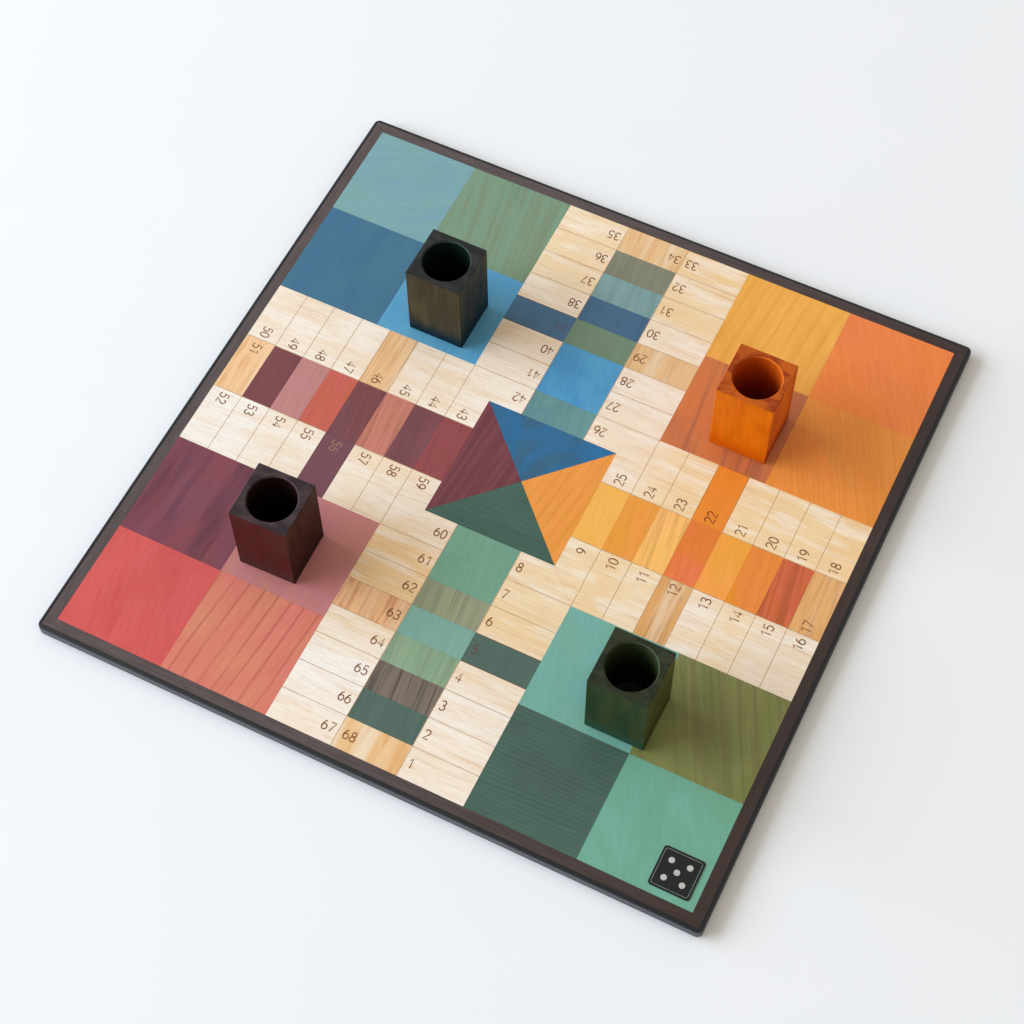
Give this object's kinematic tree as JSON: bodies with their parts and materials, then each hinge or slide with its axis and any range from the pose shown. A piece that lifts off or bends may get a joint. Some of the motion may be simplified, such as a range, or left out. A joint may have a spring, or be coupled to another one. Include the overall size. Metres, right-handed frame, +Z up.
{
  "type": "race game board with dice cups",
  "caption": "Square flat wooden cross-and-circle race game board with coloured inlaid veneer, numbered track, black rounded edge and loose square dice cups.",
  "frame": {"origin": "centre of the underside of the board, on the table", "axes": "+Z up, -Y to the player at the front edge whose lane starts at cell 1, +X to that player's right"},
  "size_m": [0.4, 0.4, 0.0626],
  "materials": {
    "raw_fibreboard": "raw medium-density fibreboard, faces glued under veneer",
    "backing_ash": "clear matt lacquer on ash veneer",
    "black_printed_plate": "thin satin black plastic label plate",
    "black_lacquered_lipping": "satin black lacquer on hardwood",
    "smoked_brown_veneer": "dark brown stain under matt lacquer",
    "stain_dark_green": "dark green water stain on maple veneer, matt lacquer",
    "stain_mint": "mint water stain on maple veneer, matt lacquer",
    "stain_turquoise": "turquoise water stain on maple veneer, matt lacquer",
    "stain_olive": "olive water stain on maple veneer, matt lacquer",
    "stain_goal_green": "water stain on maple veneer, matt lacquer",
    "stain_home_row_green": "row of water stained maple tiles in related colours, matt lacquer",
    "stain_terracotta": "terracotta water stain on maple veneer, matt lacquer",
    "stain_dark_amber": "dark amber water stain on maple veneer, matt lacquer",
    "stain_amber_yellow": "amber yellow water stain on maple veneer, matt lacquer",
    "stain_coral_orange": "coral orange water stain on maple veneer, matt lacquer",
    "stain_goal_orange": "water stain on maple veneer, matt lacquer",
    "stain_home_row_orange": "row of water stained maple tiles in related colours, matt lacquer",
    "stain_steel_blue": "steel blue water stain on maple veneer, matt lacquer",
    "stain_sky_blue": "sky blue water stain on maple veneer, matt lacquer",
    "stain_light_teal": "light teal water stain on maple veneer, matt lacquer",
    "stain_sage_green": "sage green water stain on maple veneer, matt lacquer",
    "stain_goal_blue": "water stain on maple veneer, matt lacquer",
    "stain_home_row_blue": "row of water stained maple tiles in related colours, matt lacquer",
    "stain_coral_red": "coral red water stain on maple veneer, matt lacquer",
    "stain_salmon": "salmon water stain on maple veneer, matt lacquer",
    "stain_plum": "plum water stain on maple veneer, matt lacquer",
    "stain_dusty_rose": "dusty rose water stain on maple veneer, matt lacquer",
    "stain_goal_red": "water stain on maple veneer, matt lacquer",
    "stain_home_row_red": "row of water stained maple tiles in related colours, matt lacquer",
    "pale_maple_veneer": "clear matt lacquer on pale maple veneer",
    "stain_start_green": "water stain on maple veneer, matt lacquer",
    "honey_ash_veneer": "clear matt lacquer on honey-coloured ash veneer",
    "stain_start_orange": "water stain on maple veneer, matt lacquer",
    "stain_start_blue": "water stain on maple veneer, matt lacquer",
    "stain_start_red": "water stain on maple veneer, matt lacquer",
    "stained_beech_cup_green": "dark green stain on beech, satin lacquer",
    "stained_beech_cup_orange": "bright orange stain on beech, satin lacquer",
    "stained_beech_cup_blue": "near-black stain with olive brown showing through on beech, satin lacquer",
    "stained_beech_cup_red": "very dark maroon stain on beech, satin lacquer"
  },
  "bodies": {
    "board": {"core_panel": "raw_fibreboard", "backing_veneer": "backing_ash", "corner_plate": "black_printed_plate", "lipping_front": "black_lacquered_lipping", "lipping_right": "black_lacquered_lipping", "lipping_back": "black_lacquered_lipping", "lipping_left": "black_lacquered_lipping", "border_strip_front": "smoked_brown_veneer", "border_strip_right": "smoked_brown_veneer", "border_strip_back": "smoked_brown_veneer", "border_strip_left": "smoked_brown_veneer", "house_green_front_left": "stain_dark_green", "house_green_front_right": "stain_mint", "house_green_back_left": "stain_turquoise", "house_green_back_right": "stain_olive", "goal_green": "stain_goal_green", "home_row_green": "stain_home_row_green", "house_orange_front_left": "stain_terracotta", "house_orange_front_right": "stain_dark_amber", "house_orange_back_left": "stain_amber_yellow", "house_orange_back_right": "stain_coral_orange", "goal_orange": "stain_goal_orange", "home_row_orange": "stain_home_row_orange", "house_blue_front_left": "stain_steel_blue", "house_blue_front_right": "stain_sky_blue", "house_blue_back_left": "stain_light_teal", "house_blue_back_right": "stain_sage_green", "goal_blue": "stain_goal_blue", "home_row_blue": "stain_home_row_blue", "house_red_front_left": "stain_coral_red", "house_red_front_right": "stain_salmon", "house_red_back_left": "stain_plum", "house_red_back_right": "stain_dusty_rose", "goal_red": "stain_goal_red", "home_row_red": "stain_home_row_red", "track_01_08": "pale_maple_veneer", "track_60_67": "pale_maple_veneer", "start_cell_05": "stain_start_green", "safe_cell_63": "honey_ash_veneer", "end_cell_68": "honey_ash_veneer", "track_18_25": "pale_maple_veneer", "track_09_16": "pale_maple_veneer", "start_cell_22": "stain_start_orange", "safe_cell_12": "honey_ash_veneer", "end_cell_17": "honey_ash_veneer", "track_35_42": "pale_maple_veneer", "track_26_33": "pale_maple_veneer", "start_cell_39": "stain_start_blue", "safe_cell_29": "honey_ash_veneer", "end_cell_34": "honey_ash_veneer", "track_52_59": "pale_maple_veneer", "track_43_50": "pale_maple_veneer", "start_cell_56": "stain_start_red", "safe_cell_46": "honey_ash_veneer", "end_cell_51": "honey_ash_veneer"},
    "cup_green": {"cup_green_house": "stained_beech_cup_green"},
    "cup_orange": {"cup_orange_house": "stained_beech_cup_orange"},
    "cup_blue": {"cup_blue_house": "stained_beech_cup_blue"},
    "cup_red": {"cup_red_house": "stained_beech_cup_red"}
  },
  "joints": [
    {"name": "lift_cup_green", "type": "slide", "parent": "board", "child": "cup_green", "axis": [0, 0, 1], "range_m": [0, 0.08]},
    {"name": "lift_cup_orange", "type": "slide", "parent": "board", "child": "cup_orange", "axis": [0, 0, 1], "range_m": [0, 0.08]},
    {"name": "lift_cup_blue", "type": "slide", "parent": "board", "child": "cup_blue", "axis": [0, 0, 1], "range_m": [0, 0.08]},
    {"name": "lift_cup_red", "type": "slide", "parent": "board", "child": "cup_red", "axis": [0, 0, 1], "range_m": [0, 0.08]}
  ]
}
